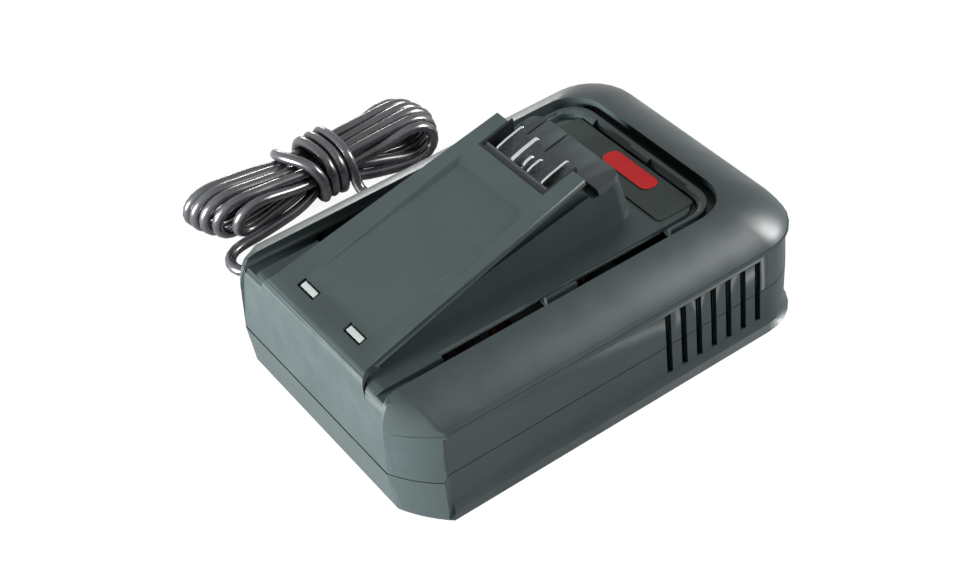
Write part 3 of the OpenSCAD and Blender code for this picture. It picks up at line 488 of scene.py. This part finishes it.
def softCopy(nodeName, name, edge, angle=joining["edgeAngle"]):
    # copy of a CAD node with its loose triangles joined and its edges rounded
    source = nodes[nodeName]
    piece = bpy.data.objects.new(name, source.data.copy())
    scene.collection.objects.link(piece)
    takeUp(piece)
    bpy.ops.object.mode_set(mode="EDIT")
    bpy.ops.mesh.select_all(action="SELECT")
    bpy.ops.mesh.remove_doubles(threshold=joining["reach"] * mm)
    bpy.ops.mesh.dissolve_limited(angle_limit=math.radians(joining["flat"]))
    bpy.ops.object.mode_set(mode="OBJECT")
    if edge:
        applyModifier(piece, "BEVEL", width=edge * mm, segments=joining["edgeSteps"],
                      limit_method="ANGLE", angle_limit=math.radians(angle),
                      use_clamp_overlap=True, harden_normals=False, miter_outer="MITER_ARC")
    return piece


# edges in mm, smoothing and corner angles in degrees
cover = {"edge": 0.42, "smooth": 17}
coverPiece = softCopy("upper_housing", "cover", cover["edge"])
settle(coverPiece, materials["case"], ["upper_housing"], cover["smooth"])
print("cover:", len(coverPiece.data.polygons), "faces")

base = {"edge": 0.55, "smooth": 26}
basePiece = softCopy("lower_housing", "base", base["edge"])
settle(basePiece, materials["case"], ["lower_housing"], base["smooth"])
print("base:", len(basePiece.data.polygons), "faces")

contacts = {"count": 5, "edge": 0.1, "corner": 40, "smooth": 35}
for k in range(1, contacts["count"] + 1):
    node = "blade_%d" % k
    blade = softCopy(node, "blade%d" % k, contacts["edge"], contacts["corner"])
    settle(blade, materials["blade_steel"], [node], contacts["smooth"])
print("contacts shaped")

lampWindow = {"gap": 0.42, "edge": 0.25, "sink": 0.25, "corner": 40, "smooth": 35}
for side in ("left", "right"):
    # a thin dark gap shows round each window
    node = "lamp_window_" + side
    window = softCopy(node, "lampWindow" + side.title(), 0)
    low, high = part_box(node)
    middle = [(a + b) / 2 for a, b in zip(low, high)]
    takeUp(window)
    bpy.ops.object.mode_set(mode="EDIT")
    bpy.ops.mesh.select_all(action="SELECT")
    bpy.ops.transform.resize(
        value=[1 - 2 * lampWindow["gap"] * mm / (b - a) for a, b in zip(low[:2], high[:2])] + [1],
        center_override=middle)
    bpy.ops.transform.translate(value=(0, 0, -lampWindow["sink"] * mm))
    bpy.ops.object.mode_set(mode="OBJECT")
    applyModifier(window, "BEVEL", width=lampWindow["edge"] * mm, segments=joining["edgeSteps"],
                  limit_method="ANGLE", angle_limit=math.radians(lampWindow["corner"]))
    settle(window, materials["lamp_white"], [node], lampWindow["smooth"])
print("lamp windows shaped")

plug = {
    "low": (-104.6, 27.4, 0.2),   # mm, corners of the body
    "high": (-71.4, 61.6, 12.4),
    "cuts": 5,
    "narrowing": 0.62,            # share of the width that is lost at the cord's end
    "waist": 0.1,                 # share that is drawn in for the fingers
    "edge": 3.4,
    "edgeSteps": 4,
    "corner": 50,
    "smooth": 40,
}
size = [b - a for a, b in zip(plug["low"], plug["high"])]
deselectAll()
bpy.ops.mesh.primitive_cube_add(
    size=1, location=[(a + b) / 2 * mm for a, b in zip(plug["low"], plug["high"])],
    scale=[v * mm for v in size])
plugPiece = bpy.context.object
plugPiece.name = "plugBody"
bpy.ops.object.transform_apply(location=True, rotation=True, scale=True)
bpy.ops.object.mode_set(mode="EDIT")
bpy.ops.mesh.select_all(action="SELECT")
bpy.ops.mesh.subdivide(number_cuts=plug["cuts"])
bpy.ops.object.mode_set(mode="OBJECT")
middle = (plug["low"][0] + plug["high"][0]) / 2 * mm
for corner in plugPiece.data.vertices:
    # narrower towards the cord, with a waist for the fingers
    along = (corner.co.y / mm - plug["low"][1]) / size[1]
    width = (1 - (1 - along) ** 2 * plug["narrowing"]
             - plug["waist"] * math.sin(math.pi * along) ** 2)
    corner.co.x = middle + (corner.co.x - middle) * width
applyModifier(plugPiece, "BEVEL", width=plug["edge"] * mm, segments=plug["edgeSteps"],
              limit_method="ANGLE", angle_limit=math.radians(plug["corner"]),
              use_clamp_overlap=True)
settle(plugPiece, materials["cord_black"], ["plug_body"], plug["smooth"])
print("plug shaped")

# floor, lights and background
room = {
    "floorSize": 1.5,
    "floorGrey": 0.5,
    # the camera alone sees this glow of the floor, mixed with its lit surface by the share
    "floorGlow": 1.14,
    "glowShare": 0.8,
    # azimuth, elevation, distance, size in metres and power in watts of each soft light
    "lamps": {"frontLeft": (-99, 7, 3, 1.0, 740), "rear": (60, 24, 2, 0.8, 104),
              "backLeft": (158, 6, 2.5, 0.35, 12)},
    "aim": (0, 0, 0.04),
    "ambient": 0.0,
}
deselectAll()
bpy.ops.mesh.primitive_plane_add(size=room["floorSize"], location=(0, 0, 0))
floor = bpy.context.object
floor.name = "floor"
bpy.ops.object.mode_set(mode="EDIT")
bpy.ops.mesh.subdivide(number_cuts=3)
bpy.ops.object.mode_set(mode="OBJECT")
floorMaterial = bpy.data.materials.new("paleFloor")
floorMaterial.use_nodes = True
tree = floorMaterial.node_tree
tree.nodes.clear()
matt = tree.nodes.new("ShaderNodeBsdfDiffuse")
matt.inputs["Color"].default_value = (*[room["floorGrey"]] * 3, 1)
glow = tree.nodes.new("ShaderNodeEmission")
glow.inputs["Strength"].default_value = room["floorGlow"]
rays = tree.nodes.new("ShaderNodeLightPath")
seen = tree.nodes.new("ShaderNodeMath")
seen.operation = "MULTIPLY"
seen.inputs[1].default_value = room["glowShare"]
mix = tree.nodes.new("ShaderNodeMixShader")
floorOut = tree.nodes.new("ShaderNodeOutputMaterial")
tree.links.new(rays.outputs["Is Camera Ray"], seen.inputs[0])
tree.links.new(seen.outputs[0], mix.inputs["Fac"])
tree.links.new(matt.outputs["BSDF"], mix.inputs[1])
tree.links.new(glow.outputs["Emission"], mix.inputs[2])
tree.links.new(mix.outputs["Shader"], floorOut.inputs["Surface"])
floor.data.materials.append(floorMaterial)

for name, (turn, lift, far, size, power) in room["lamps"].items():
    lamp = bpy.data.lights.new(name, "AREA")
    lamp.shape = "SQUARE"
    lamp.size = size
    lamp.energy = power
    lampObject = bpy.data.objects.new(name, lamp)
    scene.collection.objects.link(lampObject)
    turn, lift = math.radians(turn), math.radians(lift)
    place = far * Vector((math.cos(lift) * math.cos(turn),
                          math.cos(lift) * math.sin(turn), math.sin(lift)))
    lampObject.location = place
    towards = Vector(room["aim"]) - place
    lampObject.rotation_euler = towards.to_track_quat("-Z", "Y").to_euler()

# the camera, reflections and clear parts see white, and the object gets no light from it
world = bpy.data.worlds.new("studio")
scene.world = world
world.use_nodes = True
tree = world.node_tree
tree.nodes.clear()
rays = tree.nodes.new("ShaderNodeLightPath")
seen = tree.nodes.new("ShaderNodeMath")
seen.operation = "MAXIMUM"
clear = tree.nodes.new("ShaderNodeMath")
clear.operation = "MAXIMUM"
strength = tree.nodes.new("ShaderNodeMapRange")
strength.inputs["To Min"].default_value = room["ambient"]
strength.inputs["To Max"].default_value = 1.0
background = tree.nodes.new("ShaderNodeBackground")
background.inputs["Color"].default_value = (1, 1, 1, 1)
worldOut = tree.nodes.new("ShaderNodeOutputWorld")
tree.links.new(rays.outputs["Is Camera Ray"], seen.inputs[0])
tree.links.new(rays.outputs["Is Glossy Ray"], seen.inputs[1])
tree.links.new(seen.outputs[0], clear.inputs[0])
tree.links.new(rays.outputs["Is Transmission Ray"], clear.inputs[1])
tree.links.new(clear.outputs[0], strength.inputs["Value"])
tree.links.new(strength.outputs["Result"], background.inputs["Strength"])
tree.links.new(background.outputs["Background"], worldOut.inputs["Surface"])
print("floor and lights placed")
